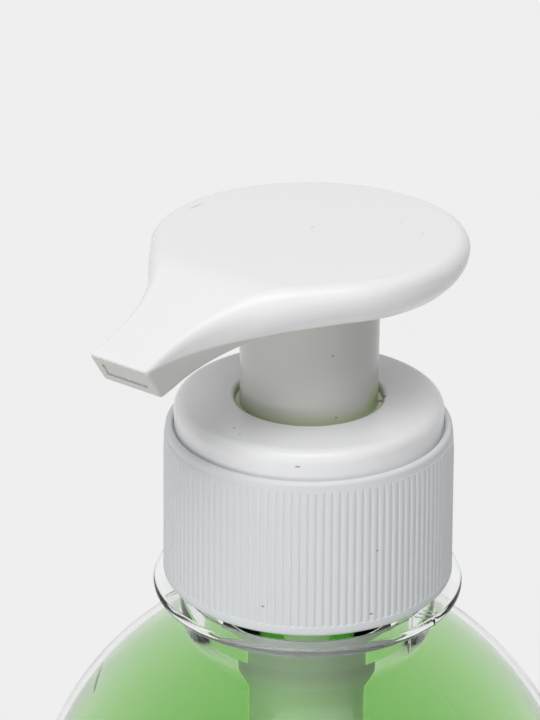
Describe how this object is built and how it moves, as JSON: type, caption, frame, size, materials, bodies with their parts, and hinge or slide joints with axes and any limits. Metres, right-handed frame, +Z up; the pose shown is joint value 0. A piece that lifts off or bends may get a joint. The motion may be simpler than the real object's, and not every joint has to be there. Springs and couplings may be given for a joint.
{
  "type": "liquid soap bottle",
  "caption": "Round clear bottle of green liquid soap with a white ribbed screw cap, flat-topped collar and a press-down pump with a teardrop finger pad and bent spout.",
  "frame": {"origin": "centre of the base, on the table that the bottle stands on", "axes": "+Z up along the bottle's axis; the spout points along -Y at rest, and the mould's parting line lies in the plane of X"},
  "size_m": [0.065, 0.065, 0.1575],
  "materials": {
    "clear_plastic": "clear gloss",
    "green_soap": "clear liquid",
    "white_cap": "gloss",
    "white_collar": "gloss",
    "white_head": "gloss",
    "gasket_foam": "matte",
    "natural_plastic": "translucent",
    "spring_steel": "drawn wire",
    "ball_glass": "polished"
  },
  "bodies": {
    "bottle": {"bottle": "clear_plastic", "liquid_soap": "green_soap"},
    "pump_core": {"gasket": "gasket_foam", "collar": "white_collar", "pump_housing": "natural_plastic", "dip_tube": "natural_plastic", "inlet_ball": "ball_glass", "ball_retainer": "natural_plastic"},
    "cap": {"screw_cap": "white_cap"},
    "spring": {"return_spring": "spring_steel"},
    "head": {"pump_head": "white_head", "stem": "natural_plastic", "piston_rod": "natural_plastic"},
    "piston": {"piston": "natural_plastic"}
  },
  "joints": [
    {"name": "pump_lift", "type": "slide", "parent": "bottle", "child": "pump_core", "axis": [0, 0, 1], "range_m": [0, 0.00529]},
    {"name": "cap_turn", "type": "hinge", "parent": "pump_core", "child": "cap", "pos_m": [0, 0, 0.128], "axis": [0, 0, 1], "range_deg": [0, 450]},
    {"name": "pump_stroke", "type": "slide", "parent": "pump_core", "child": "spring", "axis": [0, 0, -1], "range_m": [0, 0.0126], "stiffness_N_per_m": 250, "springref_m": -0.006, "deforming": ["return_spring"]},
    {"name": "head_turn", "type": "hinge", "parent": "spring", "child": "head", "pos_m": [0, 0, 0.15], "axis": [0, 0, 1], "range_deg": [0, 90]},
    {"name": "piston_shift", "type": "slide", "parent": "head", "child": "piston", "axis": [0, 0, 1], "range_m": [0, 0.00075]}
  ],
  "couplings": [
    {"joint": "cap_turn", "follows": "pump_lift", "rad_per_m": 1485.4}
  ]
}
